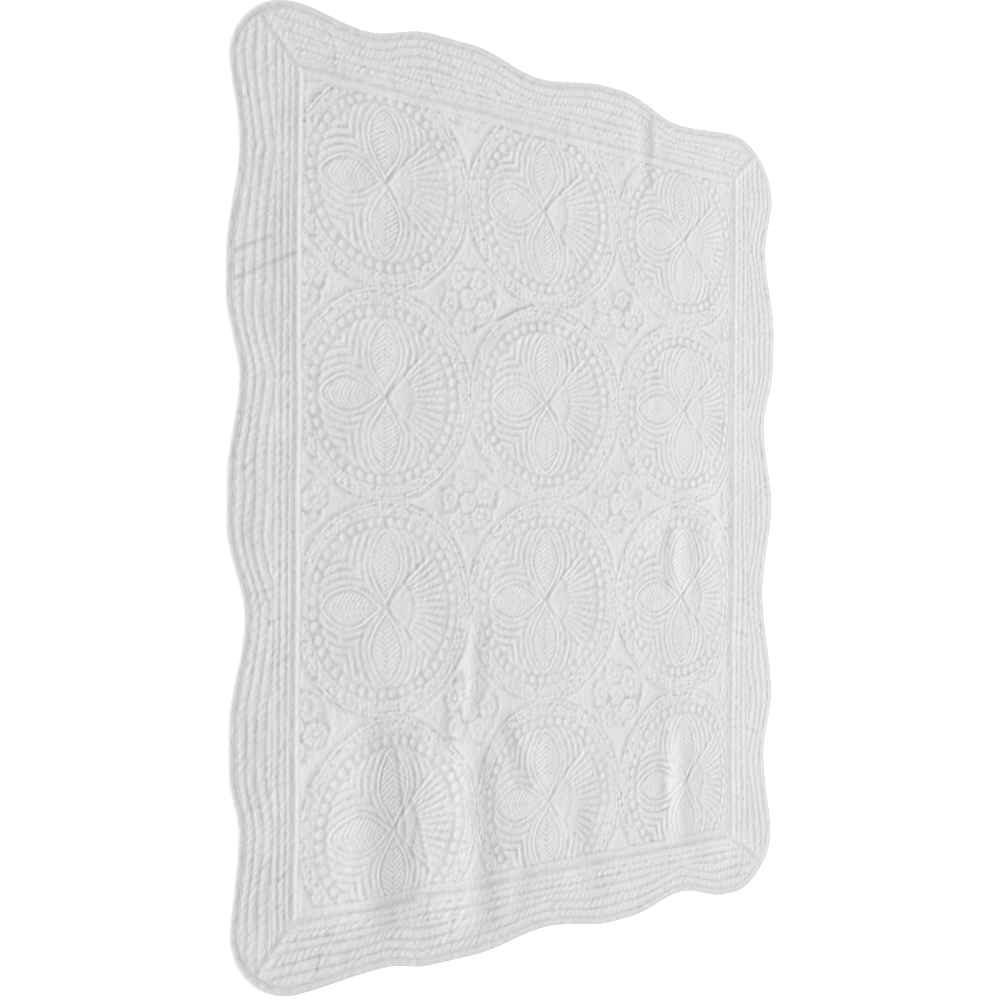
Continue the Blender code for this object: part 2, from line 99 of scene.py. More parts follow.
# The scalloped edge, in mm: places along each side, and the edge's reach from the panel's middle there.
EDGE_MM = {
    "left": (
        (-500, -370, -300, -255, -140, -35, 10, 120, 215, 250, 375, 490),
        (455, 444, 456.5, 456.5, 438.5, 461.5, 461.5, 447.5, 464.5, 464.5, 449.5, 464.5),
    ),
    "right": (
        (-500, -365, -277, -130, 0, 110, 205, 255, 375, 455, 500),
        (444.5, 427.5, 445.5, 426.5, 447.5, 431, 452.5, 454.5, 435.5, 451.5, 450.5),
    ),
    "head": (
        (-375, -285, -185, -120, -16, 110, 135, 250, 375),
        (547, 536.5, 556.5, 557, 539, 554.5, 554.5, 529.5, 537.5),
    ),
    "foot": (
        (-375, -250, -185, -120, 0, 115, 150, 250, 340, 375),
        (554, 547, 556.5, 557, 543.5, 557, 556, 538.5, 556, 557),
    ),
}
CORNER_RADIUS = 0.088
BORDER_WIDTH = 0.080

# The search for the edge along a ray: the share of the border's width where it stops, and its halvings.
RAY_REACH = 1.3
HALVINGS = 30

# Each side: its outward direction, its direction along, and the half sizes of the panel seen from it.
SIDES = {
    "left": ((-1, 0), (0, 1), PANEL_HALF_WIDTH, PANEL_HALF_LENGTH),
    "right": ((1, 0), (0, 1), PANEL_HALF_WIDTH, PANEL_HALF_LENGTH),
    "head": ((0, 1), (1, 0), PANEL_HALF_LENGTH, PANEL_HALF_WIDTH),
    "foot": ((0, -1), (1, 0), PANEL_HALF_LENGTH, PANEL_HALF_WIDTH),
}

# Each side's quilting: straight channels beside the panel, their spacing, the spacing of the waved ones
# outside them, the spacing and depth of the puckers across them, the depth of the lines between channels,
# and which way the puckers lean. Spacings in mm, depths as a share.
CHANNELS = {
    "left": (3, 9.0, 13.0, 9.5, 0.62, 0.78, -1),
    "right": (3, 8.5, 10.0, 9.0, 0.62, 0.75, 1),
    "head": (3, 9.0, 13.0, 7.0, 0.85, 0.62, 1),
    "foot": (3, 9.5, 13.0, 9.5, 0.72, 0.75, -1),
}

# How far the cloth has pulled each round from its even place, in mm, across and along: rows from the
# foot, columns from the left.
PULLED = np.array([
    [(8.0, -5.6), (1.5, -1.2), (5.0, -5.7)],
    [(-1.5, 1.6), (-3.0, 2.9), (0.0, 0.8)],
    [(-3.5, -5.0), (0.0, 4.4), (8.5, 9.5)],
    [(-5.0, -4.5), (-4.5, -0.4), (7.5, 0.0)],
])

# The waved channels: how deep they wave and draw to a V in mm, how sharp the V is, and how far in from
# the edge the waves begin and over what distance they grow, in mm. Their numbers start past the straight
# channels' own. The faint folds across the channels have a spacing in mm.
WAVE_DEPTH = 14.5
V_DEPTH = 12.0
V_SHARPNESS = 0.9
WAVES_START = 12
WAVES_GROW = 14
FIRST_WAVED = 20
CROSS_FOLDS = 46

# Heights over the underside, in mm.
GROUND = 4.4
LOWEST = 1.3
SEAM = 3.0
BORDER_GROOVE = 3.5
BORDER_PUFF = 3.0
BINDING_RIM = 1.5
BINDING_CROWN = 4.4
BINDING_SEAM = 3.8
BACKING = 0.6
BACKING_DIMPLE = 0.4

# Shares of the binding's width: from the edge to its crown, and from the edge to its line of stitches.
CROWN_SHARE = 0.3
STITCH_SHARE = 0.84

# Width of the stitched rim inside the panel's seam in mm, at its sides and at its ends.
SIDE_RIM = 9.0
END_RIM = 13.5

# Distances over which the cloth falls to a seam, in mm: beside the panel's seam, at its right edge, at its
# head and foot, at the mitres and beside the binding. The folds run on over every seam but the binding's.
SEAM_SLOPE = 7.0
RIGHT_SLOPE = 15.0
END_SLOPE = 11.0
MITRE_SLOPE = 8.0
BINDING_SLOPE = 3.0
FOLD_SLOPE = 35.0

# Radii and lengths of one round, in mm.
RING_LINES = (120.6, 125.0)
PEARL_LINES = (92.8, 107.8)
PEARL_CIRCLE = 100.4
PEARL_RADIUS = 5.5
LEAF_LENGTH = 92.0
LEAF_HALF_WIDTH = 26.0
LEAF_RIM = 5.0
FAN_CUP = 39.0
FAN_END = 91.0
FAN_HALF_ANGLE = np.pi / 4
LEAF_TURNS = (np.pi / 2, np.pi, -np.pi / 2)
FLOWER_HEADS = 5
FLOWER_CIRCLE = 28.0
FLOWER_RADIUS = 17.0
FLOWER_REACH = 44.0

# Soft folds where the cloth doesn't lie quite flat: x and y of both ends, half width and rise, in mm.
FOLDS = (
    (-312, -310, -300, -465, 34, 2.0),
    (-284, -285, -278, -460, 27, 7.0),
    (-203, -295, -203, -465, 13, -2.0),
    (-130, -330, -114, -570, 22, 7.2),
    (-190, -470, -178, -520, 13, -1.4),
    (-158, -290, -138, -170, 10, -1.7),
    (-120, -160, -128, -250, 9, 2.2),
    (192, 535, 193, 440, 9, -1.3),
    (168, 540, 170, 440, 12, 1.6),
    (-83, 190, 27, 235, 12, -1.4),
    (27, 235, 142, 265, 12, -1.4),
    (-288, 355, -158, 425, 13, -1.6),
    (-57, -290, -24, -355, 12, -1.8),
    (-90, -280, -60, -350, 14, 2.2),
    (219, -310, 219, -390, 11, -1.8),
    (245, -350, 243, -455, 14, 3.2),
    (216, -365, 218, -415, 9, -1.6),
    (228, -48, 228, -112, 10, -2.2),
    (258, -40, 262, -120, 13, 2.2),
    (196, -60, 222, -20, 16, 2.6),
    (-438, 25, -423, -65, 16, -1.2),
    (332, 55, 352, -145, 24, 2.2),
    (62, -525, 42, -405, 20, 2.6),
    (-60, -520, -48, -470, 14, 2.4),
)

# Narrow creases, which also get painted shade as the stitched lines do: x and y of both ends, half width and
# depth, in mm.
CREASES = (
    (192, 536, 193, 476, 4.5, 0.4),
    (-118, 205, -24, 246, 2.0, 0.8),
    (-222, -402, -236, -300, 2.6, 0.9),
    (-188, -446, -202, -384, 2.2, 0.8),
    (-457, 255, -408, 279, 1.3, 0.5),
    (-456, 225, -374, 266, 1.3, 0.5),
)

# A place has the full painted shade of a stitched line where it lies this far, in mm, under the mean round
# it.
# The means are taken over squares that reach this many places of the grid to each side.
FULL_PAINTED_SHADE = 0.55
WIDE_MEAN, NEAR_MEAN = 4, 1

# Steps of the grids: points along each side of the backing, its rings of points, spacing along a border
# and its rows, the cell over which a border's height is averaged, spacing along the binding, and steps
# over its face, round its roll and under it.
BACKING_POINTS = 121
BACKING_RINGS = 40
BORDER_STEP = 0.0020
BORDER_ROWS = 58
BORDER_CELL = 0.0016
BINDING_STEP = 0.0032
FACE_STEPS, ROLL_STEPS, UNDER_STEPS = 12, 7, 6
MERGE_DISTANCE = 1e-6

# The stage: half size of the floor and how far it lies under the backing, and the lights, set so that the
# tones are the picture's. The two suns stand in one direction.
FLOOR_REACH = 6
FLOOR_DROP = 0.0002
WORLD_STRENGTH = 0.47
KEY_STRENGTH = 2.55
PAPER_STRENGTH = 5.0
SUN_SPREAD = 14
SUN_DIRECTION = Vector((-0.97, 0.12, 0.51))
FILL_WATTS = 14.0
FILL_SIZE = 1.6
FILL_PLACE = (1.3, 0.1, 1.9)
FILL_DIRECTION = Vector((0.55, 0.04, 0.83))

# The camera of the picture: place, and unit vectors along its view and to its right, in the solids' frame.
CAMERA_PLACE = Vector((-1.1995, -0.0566, 1.3414))
CAMERA_VIEW = Vector((0.6435, 0.0300, -0.7648))
CAMERA_RIGHT = Vector((0.7651, 0.0019, 0.6439))
CAMERA_LENS = 50.74


def linear_colour(sRGB_hex):
    """Linear red, green, blue and an alpha of 1 from an sRGB hex value."""
    parts = [int(sRGB_hex[k:k + 2], 16) / 255 for k in (1, 3, 5)]
    return [c / 12.92 if c <= 0.04045 else ((c + 0.055) / 1.055) ** 2.4 for c in parts] + [1.0]


class BlanketSizes(bpy.types.PropertyGroup):
    """Sizes of the quilting that a user may change."""

    pearls: bpy.props.IntProperty(
        name="Pearls", description="Round puffs in the ring of each round", default=44, min=12
    )
    fan_ribs: bpy.props.IntProperty(
        name="Fan ribs", description="Puffed ribs in the fan of each round", default=13, min=3
    )
    echo: bpy.props.FloatProperty(
        name="Echo spacing", description="Between the lines that repeat a leaf's outline",
        default=0.0094, unit="LENGTH",
    )
    vein: bpy.props.FloatProperty(
        name="Vein spacing", description="Between the slanted lines inside a leaf",
        default=0.0062, unit="LENGTH",
    )
    stipple: bpy.props.FloatProperty(
        name="Stipple", description="Size of the small meandering puffs round the pearls",
        default=0.0050, unit="LENGTH",
    )
    binding: bpy.props.FloatProperty(
        name="Binding width", description="Width of the rolled edge", default=0.0105, unit="LENGTH"
    )
    relief: bpy.props.FloatProperty(
        name="Relief", description="Height of the quilting, as a share of newly filled puffs",
        default=0.45, min=0.0, subtype="FACTOR", soft_max=1.5,
    )
    across_step: bpy.props.FloatProperty(
        name="Grid step across", description="Mesh step of the panel, across the blanket",
        default=0.0016, unit="LENGTH",
    )
    along_step: bpy.props.FloatProperty(
        name="Grid step along", description="Mesh step of the panel, along the blanket",
        default=0.00135, unit="LENGTH",
    )


class BlanketColours(bpy.types.PropertyGroup):
    """Colours and cloth scales that a user may change."""

    cotton: bpy.props.FloatVectorProperty(
        name="Cotton", description="Washed white cotton of the panel and borders",
        default=linear_colour("#DEDEDE"), size=4, subtype="COLOR",
    )
    bias: bpy.props.FloatVectorProperty(
        name="Bias binding", description="Cotton of the binding, a little less bright",
        default=linear_colour("#DADADA"), size=4, subtype="COLOR",
    )
    # Painted shade: the greyer colour that the cloth is mixed towards down in its stitched lines and creases.
    painted_shade: bpy.props.FloatVectorProperty(
        name="Stitched lines", description="Cotton down in the stitched lines",
        default=linear_colour("#BEBEBE"), size=4, subtype="COLOR",
    )
    floor: bpy.props.FloatVectorProperty(
        name="Floor", description="Plain studio floor", default=linear_colour("#FDFDFD"),
        size=4, subtype="COLOR",
    )
    thread: bpy.props.FloatProperty(
        name="Thread spacing", description="Spacing at which the weave is drawn",
        default=0.0012, unit="LENGTH",
    )


def noise(x, y, size, seed):
    """Smooth noise from -1 to 1: seeded values on a square lattice, blended by smoothsteps."""
    table = np.random.default_rng(seed).uniform(-1, 1, (128, 128))
    column, row = np.floor(x / size), np.floor(y / size)
    across, along = x / size - column, y / size - row
    across, along = across**2 * (3 - 2 * across), along**2 * (3 - 2 * along)
    column, row = column.astype(int), row.astype(int)
    low = table[column % 128, row % 128] * (1 - across) + table[(column + 1) % 128, row % 128] * across
    high = (
        table[column % 128, (row + 1) % 128] * (1 - across)
        + table[(column + 1) % 128, (row + 1) % 128] * across
    )
    return low * (1 - along) + high * along


def pebbles(x, y, size, seed):
    """Small puffs on a jittered lattice: a half ellipse over each of its points, 0 on the lines between."""
    jitter = np.random.default_rng(seed).uniform(-0.3, 0.3, (2, 128, 128))
    column, row = np.floor(x / size).astype(int), np.floor(y / size).astype(int)
    nearest = np.full(x.shape, 9.0)
    for across in (-1, 0, 1):
        for along in (-1, 0, 1):
            near_column, near_row = column + across, row + along
            off_x = x / size - near_column - 0.5 - jitter[0][near_column % 128, near_row % 128]
            off_y = y / size - near_row - 0.5 - jitter[1][near_column % 128, near_row % 128]
            nearest = np.minimum(nearest, np.hypot(off_x, off_y))
    return dome(nearest, 0.62)


def eased(share):
    """A smoothstep: 0 up to a share of 0, 1 from a share of 1, level at both."""
    share = np.clip(share, 0, 1)
    return share**2 * (3 - 2 * share)


def puff(place, fullness=0.7):
    """Profile of cloth between stitched lines: 0 where the place is a whole number, 1 between two."""
    return np.abs(np.sin(np.pi * place)) ** fullness


def puckered(along, place, pitch, lean, seed):
    """Puckers across channels, from 0 in the fold between two to 1: leaning puffs, shifted by channel, some
    faint.
    """
    channel = np.floor(place)
    shift = 0.37 * channel + 0.6 * noise(along, 70 * channel, 30, seed)
    leaning = along / pitch - lean * (place - channel) + shift + 0.35 * noise(along, 9 * place, 13, seed + 2)
    strength = np.clip(0.7 + 0.8 * noise(along, 40 * channel, 21, seed + 1), 0.1, 1)
    return 1 - strength * (1 - puff(leaning, 0.9))


def groove(distance, half_width):
    """A stitched line: a bell curve of the distance from it."""
    return np.exp(-0.5 * (distance / half_width) ** 2)


def dome(distance, radius):
    """A round puff: a half ellipse, 1 in its middle and 0 from its radius on."""
    return np.sqrt(np.clip(1 - (distance / radius) ** 2, 0, 1))


def mound(distance, radius):
    """A low puff with soft sides: a parabola, 1 in its middle and 0 from its radius on."""
    return np.clip(1 - (distance / radius) ** 2, 0, 1)


def line_distance(x, y, ax, ay, bx, by):
    """Distance from the line between two points."""
    length_squared = (bx - ax) ** 2 + (by - ay) ** 2
    share = np.clip(((x - ax) * (bx - ax) + (y - ay) * (by - ay)) / length_squared, 0, 1)
    return np.hypot(x - ax - share * (bx - ax), y - ay - share * (by - ay))


def fold_rise(x, y):
    """Soft folds and the cloth's slight unevenness, in mm: bell curves round lines, and noise."""
    rise = 1.3 * noise(x, y, 90, 1) + 0.75 * noise(x, y, 38, 2) + 0.2 * noise(x, y, 12, 3)
    rise += 0.12 * noise(x, y, 5, 40)
    for ax, ay, bx, by, width, height in FOLDS:
        rise += height * groove(line_distance(x, y, ax, ay, bx, by), width)
    return rise


def crease_depth(x, y):
    """Depth of the narrow creases, in mm: bell curves round lines that wander a little."""
    wander = 0.9 * noise(x, y, 16, 4)
    depth = np.zeros_like(x)
    for ax, ay, bx, by, width, deepest in CREASES:
        depth += deepest * groove(line_distance(x + wander, y, ax, ay, bx, by), width)
    return depth


def leaf_half_width(along):
    """Half width of a leaf along its length: a sine arc, widest past the middle, blunt at its outer end."""
    share = np.clip(along / LEAF_LENGTH, 0, 1)
    return LEAF_HALF_WIDTH * np.sin(np.pi * share**1.15) ** (1.05 - 0.45 * share)


def leaf_distance(along, off):
    """Distance out from a leaf's outline, negative inside: the least to the short lines of the outline."""
    places = LEAF_LENGTH * np.linspace(0, 1, 33)
    widths = leaf_half_width(places)
    off = np.abs(off)
    nearest = np.full(along.shape, 999.0)
    for k in range(len(places) - 1):
        found = line_distance(along, off, places[k], widths[k], places[k + 1], widths[k + 1])
        nearest = np.minimum(nearest, found)
    inside = (off < leaf_half_width(along)) & (along > 0) & (along < LEAF_LENGTH)
    return np.where(inside, -nearest, nearest)


def leaf_relief(along, off, inset, vein):
    """A leaf: a rolled rim, then a low crown with slanted veins that point outward from its midrib."""
    rim = -1.0 + 2.5 * puff(np.minimum(inset / LEAF_RIM, 1), 0.85)
    veins = puff((along + 0.65 * np.abs(off)) / vein, 0.9)
    crown = 0.9 * (1 - np.exp(-np.maximum(inset - LEAF_RIM, 0) / 7))
    inner = -0.9 + crown + 1.8 * veins * np.clip((inset - LEAF_RIM) / 3, 0, 1)
    inner = inner - 0.5 * groove(off, 1.0)
    return np.where(inset < LEAF_RIM, rim, inner)


def fan_relief(radius, angle, ribs):
    """A fan: a smooth cup with faint rays, then puckered ribs with rounded ends."""
    place = (angle / FAN_HALF_ANGLE + 1) / 2 * ribs
    ends = np.clip((radius - FAN_CUP) / 5, 0, 1) * np.clip((FAN_END - radius) / 7, 0, 1)
    fullness = 2.3 + 0.6 * noise(radius, 9 * place, 14, 41)
    pucker = 0.5 + 0.5 * puckered(radius, place, 9.5, 0.8, 31)
    rib = -1.1 + fullness * puff(place, 0.8) * np.sqrt(ends) * pucker
    rays = 0.5 * puff(place, 1.0) * eased((radius - 22) / 12)
    cup = -0.9 + 1.9 * eased(radius / 20) - 1.0 * eased((radius - FAN_CUP + 6) / 6) - rays
    return np.where(radius > FAN_CUP, rib, cup)


def pearl_relief(radius, angle, count):
    """A ring of round puffs, a little square, each slightly off its place, over a low ditch."""
    pitch = 2 * np.pi * PEARL_CIRCLE / count
    turn = angle / (2 * np.pi) * count
    pearl = np.floor(turn)
    stray = np.random.default_rng(17).uniform(-0.6, 0.6, (2, count))[:, pearl.astype(int) % count]
    off_round = pitch * (turn - pearl - 0.5) - stray[0]
    off_out = radius - PEARL_CIRCLE - stray[1]
    off = (np.abs(off_round) ** 2.2 + np.abs(off_out) ** 2.2) ** (1 / 2.2)
    return -0.8 + 2.1 * np.clip(1 - (off / PEARL_RADIUS) ** 2, 0, 1) ** 0.65


def round_relief(x, y, sizes):
    """Relief of one quilted round, from places in mm from its middle, over the ground."""
    radius = np.hypot(x, y)
    angle = np.arctan2(y, x)
    stipple = 1000 * sizes.stipple
    band = -0.9 + 1.7 * pebbles(x, y, stipple, 5) + 0.6 * noise(x, y, 0.8 * stipple, 32)
    for line in RING_LINES:
        band -= 1.0 * groove(radius - line, 0.9)
    band += 0.9 * groove(radius - sum(RING_LINES) / 2, 1.0)
    distances = []
    leaves = []
    for turn in LEAF_TURNS:
        along = x * np.cos(turn) + y * np.sin(turn)
        off = -x * np.sin(turn) + y * np.cos(turn)
        distances.append(leaf_distance(along, off))
        leaves.append(leaf_relief(along, off, -distances[-1], 1000 * sizes.vein))
    nearest = np.min(distances, axis=0)
    rough = 0.8 + 0.4 * noise(x, y, 7, 33)
    inner = -1.0 + 2.4 * rough * puff(nearest / (1000 * sizes.echo), 0.8)
    for distance, leaf in zip(distances, leaves):
        inner = np.where(distance < 0, leaf, inner)
    in_fan = (np.abs(angle) < FAN_HALF_ANGLE) & (radius > 3)
    inner = np.where(in_fan & (nearest > 0), fan_relief(radius, angle, sizes.fan_ribs), inner)
    edge_off = radius * np.sin(np.abs(angle) - FAN_HALF_ANGLE)
    near_edge = (np.abs(angle) < 1.4) & (nearest > -3)
    fading = np.clip((FAN_END - radius) / 25, 0, 1)
    depth = np.where(angle > 0, 1.7 * np.exp(-radius / 140), 0.7) * fading
    inner = inner - np.where(near_edge, depth * groove(edge_off, 1.9), 0)
    inner = inner + np.where(near_edge, 0.7 * fading * groove(edge_off + 4.4, 1.6), 0)
    inner = inner - 0.4 * groove(radius, 5.0)
    inner = inner - 0.7 * groove(radius - PEARL_LINES[0], 1.2) * np.where(in_fan, 0.4, 1.0)
    relief = np.where(radius < PEARL_LINES[0], inner, band)
    in_pearls = (radius > PEARL_LINES[0]) & (radius < PEARL_LINES[1])
    return np.where(in_pearls, pearl_relief(radius, angle, sizes.pearls), relief)


def flower_relief(x, y, turned, ring_distance):
    """The ground between four rounds: hollows round a cluster of flower heads, smooth puffs in the cusps."""
    x, y = x + 4.6 * noise(x, y, 15, 34), y + 4.6 * noise(x, y, 15, 35)
    rise = eased((np.hypot(x, y) - FLOWER_REACH + 6) / 12)
    relief = -0.3 + 2.1 * rise + (1.0 - 0.6 * rise) * noise(x, y, 8, 6)
    relief = -0.3 + (relief + 0.3) * eased(ring_distance / 7)
    for head in range(FLOWER_HEADS + 1):
        turn = 2 * np.pi * head / FLOWER_HEADS + turned
        central = head == FLOWER_HEADS
        size = 0.75 if central else 1.0 - 0.12 * (head % 2)
        off_x = x - (0 if central else FLOWER_CIRCLE) * np.cos(turn)
        off_y = y - (0 if central else FLOWER_CIRCLE) * np.sin(turn)
        off = np.hypot(off_x, off_y) / size
        angle = np.arctan2(off_y, off_x) - turn
        outline = FLOWER_RADIUS * (0.8 + 0.2 * np.abs(np.cos(2.5 * angle)))
        petals = -0.9 + 2.8 * mound(off - 10.5, 8.5) * (0.45 + 0.55 * puff(angle / (2 * np.pi) * 13, 1.0))
        middle = -1.0 + 3.2 * mound(off, 6.6)
        flower = np.where(off < 5.8, middle, petals)
        share = eased((outline - off) / 7 + 0.5)
        relief = relief * (1 - share) + flower * share - 0.15 * groove(off - outline, 2.6)
    return relief


def pulled_places(x, y):
    """Places in mm in the even pattern: the pulls of the nearest rounds, blended, are taken off."""
    column = np.clip(x / REPEAT + (COLUMNS - 1) / 2, 0, COLUMNS - 1)
    row = np.clip((y - ROUNDS_SHIFT) / REPEAT + (ROWS - 1) / 2, 0, ROWS - 1)
    left = np.minimum(np.floor(column).astype(int), COLUMNS - 2)
    low = np.minimum(np.floor(row).astype(int), ROWS - 2)
    across, along = (column - left)[..., None], (row - low)[..., None]
    across, along = across**2 * (3 - 2 * across), along**2 * (3 - 2 * along)
    near = PULLED[low, left] * (1 - across) + PULLED[low, left + 1] * across
    far = PULLED[low + 1, left] * (1 - across) + PULLED[low + 1, left + 1] * across
    pull = near * (1 - along) + far * along
    wander_x = 1.6 * noise(x, y, 48, 7) + 0.7 * noise(x, y, 14, 8)
    wander_y = 1.6 * noise(x, y, 48, 9) + 0.7 * noise(x, y, 14, 10)
    return x - pull[..., 0] + wander_x, y - pull[..., 1] + wander_y


def panel_height(x, y, sizes):
    """Height of the centre panel in mm: rounds, flowers between them, a stitched rim and folds."""
    even_x, even_y = pulled_places(x, y)
    even_y = even_y - ROUNDS_SHIFT
    column = np.clip(np.round(even_x / REPEAT), -(COLUMNS - 1) / 2, (COLUMNS - 1) / 2)
    row = np.clip(np.round(even_y / REPEAT - 0.5) + 0.5, -(ROWS - 1) / 2, (ROWS - 1) / 2)
    round_x, round_y = even_x - REPEAT * column, even_y - REPEAT * row
    ring_distance = np.hypot(round_x, round_y) - RING_LINES[1] - 1.5
    flower_column = np.round(even_x / REPEAT - 0.5) + 0.5
    flower_row = np.round(even_y / REPEAT)
    flower_x, flower_y = even_x - REPEAT * flower_column, even_y - REPEAT * flower_row
    turned = 1.7 * flower_column + 2.9 * flower_row
    rounds = round_relief(round_x, round_y, sizes)
    flowers = flower_relief(flower_x, flower_y, turned, np.maximum(ring_distance, 0))
    relief = np.where(ring_distance > 0, flowers, rounds)
    relief = relief * (1 + 0.4 * noise(x, y, 22, 11)) * sizes.relief
    inset_x = 1000 * PANEL_HALF_WIDTH - np.abs(x)
    inset_y = 1000 * PANEL_HALF_LENGTH - np.abs(y)
    inset = np.minimum(inset_x, inset_y)
    on_sides = inset_x < inset_y
    rim = np.where(on_sides, SIDE_RIM, END_RIM) + 0.8 * noise(x, y, 21, 36)
    fullness = np.where(on_sides, 1.5, 1.2) * (1 + 0.5 * noise(x, y, 12, 37))
    piping = (fullness * puff(np.clip(inset / rim, 0, 1), 0.8) - 0.6) * sizes.relief
    relief = np.where(inset < rim, piping, relief - 0.5 * groove(inset - rim, 1.4))
    fall = np.where(on_sides, np.where(x > 0, RIGHT_SLOPE, SEAM_SLOPE), END_SLOPE)
    rise = GROUND + relief - SEAM
    height = SEAM + rise * eased(inset / fall) + fold_rise(x, y) - crease_depth(x, y)
    return np.maximum(height, LOWEST)


def edge_reach(side, along):
    """Reach of the scalloped edge along a side, in metres: cosine waves through the table's places."""
    places, reach = np.array(EDGE_MM[side]) / 1000
    low = np.clip(np.searchsorted(places, along) - 1, 0, len(places) - 2)
    share = np.clip((along - places[low]) / (places[low + 1] - places[low]), 0, 1)
    share = (1 - np.cos(np.pi * share)) / 2
    return reach[low] * (1 - share) + reach[low + 1] * share


def edge_distance(x, y):
    """Distance in from the scalloped edge, in metres: the nearer side's own, rounded at a corner."""
    across = np.where(x < 0, edge_reach("left", y), edge_reach("right", y)) - np.abs(x)
    lengthwise = np.where(y < 0, edge_reach("foot", x), edge_reach("head", x)) - np.abs(y)
    corner_x = np.maximum(CORNER_RADIUS - across, 0)
    corner_y = np.maximum(CORNER_RADIUS - lengthwise, 0)
    rounded = CORNER_RADIUS - np.hypot(corner_x, corner_y)
    return np.minimum(rounded, np.minimum(across, lengthwise))


def drawn_in(x, y):
    """How far the cloth is drawn in: most along the right seam, less at its head, none at the binding."""
    most = SEAM_DRAW - SEAM_DRAW_SLANT * np.clip(y / PANEL_HALF_LENGTH, -1, 1)
    rising = eased((x - DRAW_START) / (PANEL_HALF_WIDTH - DRAW_START))
    stop = edge_reach("right", y) - DRAW_END_INSET
    falling = np.clip((stop - x) / (stop - PANEL_HALF_WIDTH), 0, 1)
    ends = np.clip((END_REACH - np.abs(y)) / (END_REACH - PANEL_HALF_LENGTH), 0, 1)
    return most * np.minimum(rising, falling) * ends


def placed(points):
    """Points in the frame of the solids, from points round the panel's middle."""
    across = points[..., 0] + MOVE_ACROSS - drawn_in(points[..., 0], points[..., 1])
    return np.concatenate([across[..., None], points[..., 1:]], -1)


def side_places(side, along, out):
    """Blanket coordinates of places given by their distance along a side and out from the middle."""
    outward, forward, _, _ = SIDES[side]
    return along * forward[0] + out * outward[0], along * forward[1] + out * outward[1]


def ray_places(side, share, reach, clearance):
    """Places on the rays that fan out from the panel's seam to the mitres, at a share of the border."""
    _, _, half_out, half_along = SIDES[side]
    start = share * (half_along - clearance)
    stop = share * (half_along + BORDER_WIDTH - clearance)
    return side_places(side, start + reach * (stop - start), half_out + reach * BORDER_WIDTH)


def ray_reach(side, share, inset, clearance=0.0):
    """How far along each ray the edge lies when moved in by an inset: found by halving."""
    near, far = np.zeros_like(share), np.full_like(share, RAY_REACH)
    for _ in range(HALVINGS):
        middle = (near + far) / 2
        inside = edge_distance(*ray_places(side, share, middle, clearance)) > inset
        near, far = np.where(inside, middle, near), np.where(inside, far, middle)
    return near


def waved_inset(side, along, out):
    """Distance in from the edge, in mm, that the waved channels follow: drawn to a V at each valley."""
    inset = 1000 * (edge_reach(side, along) - out)
    repeats = along / (REPEAT / 1000) - (0.0 if side in ("head", "foot") else 0.5)
    valley = 1 - np.abs(np.sin(np.pi * repeats)) ** V_SHARPNESS
    smooth = (1 + np.cos(2 * np.pi * repeats)) / 2
    ease = np.clip((inset - WAVES_START) / WAVES_GROW, 0, 1)
    return inset - ease * (V_DEPTH * valley - WAVE_DEPTH * smooth)


def border_height(side, x, y, sizes):
    """Height of a border strip in mm: puffed channels, puckered across, low at its seams."""
    count, straight_spacing, waved_spacing, pitch, depth, line_depth, lean = CHANNELS[side]
    _, forward, half_out, half_along = SIDES[side]
    along = x * forward[0] + y * forward[1]
    out = np.abs(x) if side in ("left", "right") else np.abs(y)
    mm_x, mm_y = 1000 * x, 1000 * y
    straight = 1000 * (out - half_out) + 1.0 * noise(mm_x, mm_y, 40, 12)
    waved = waved_inset(side, along, out) - 1000 * sizes.binding + 1.6 * noise(mm_x, mm_y, 34, 13)
    in_straight = straight < count * straight_spacing
    place = np.where(in_straight, straight / straight_spacing, waved / waved_spacing + FIRST_WAVED)
    lean = lean * np.where(in_straight, 0.8, -0.8)
    lines = 1 - line_depth * (1 - puff(place, 0.8))
    puffed = lines * (1 - depth * (1 - puckered(1000 * along, place, pitch, lean, 14)))
    uneven = 1 + 0.35 * noise(mm_x, mm_y, 13, 15)
    drawn = 1000 * along + 0.35 * straight + 9 * noise(mm_x, mm_y, 30, 38)
    strength = np.clip(1.6 * noise(drawn, 0.6 * straight, 47, 39) - 0.3, 0, 1)
    half_fold = CROSS_FOLDS / 2
    puffed = puffed - 0.45 * strength * groove((drawn + half_fold) % CROSS_FOLDS - half_fold, 1.7)
    height = BORDER_GROOVE + BORDER_PUFF * (puffed - 0.3) * uneven * sizes.relief
    mitre = 1000 * (half_along + (out - half_out) - np.abs(along)) / np.sqrt(2)
    to_binding = 1000 * (edge_distance(x, y) - sizes.binding)
    slope = END_SLOPE if side in ("head", "foot") else SEAM_SLOPE
    to_seam = eased(1000 * (out - half_out) / slope) * eased(mitre / MITRE_SLOPE)
    inner = SEAM + (height - SEAM) * to_seam + fold_rise(mm_x, mm_y) * eased(to_binding / FOLD_SLOPE)
    inner = inner - crease_depth(mm_x, mm_y)
    return np.maximum(BINDING_SEAM + (inner - BINDING_SEAM) * eased(to_binding / BINDING_SLOPE), LOWEST)


def binding_height(inset, width):
    """Height of the binding's upper face in mm at an inset in mm: a soft roll, stitched along its inside."""
    crown = CROWN_SHARE * width
    outer = np.sqrt(np.clip(1 - (1 - inset / crown) ** 2, 0, 1))
    rolled = BINDING_RIM + (BINDING_CROWN - BINDING_RIM) * outer
    lowered = BINDING_CROWN - (BINDING_CROWN - BINDING_SEAM) * eased((inset - crown) / (width - crown))
    return np.where(inset < crown, rolled, lowered) - 0.35 * groove(inset - STITCH_SHARE * width, 0.7)


def grid_normals(points):
    """Unit normals of a grid of points, from the differences to its neighbours along both parameters."""
    along, across = np.gradient(points, axis=0), np.gradient(points, axis=1)
    normals = np.cross(across, along)
    return normals / np.linalg.norm(normals, axis=2, keepdims=True)


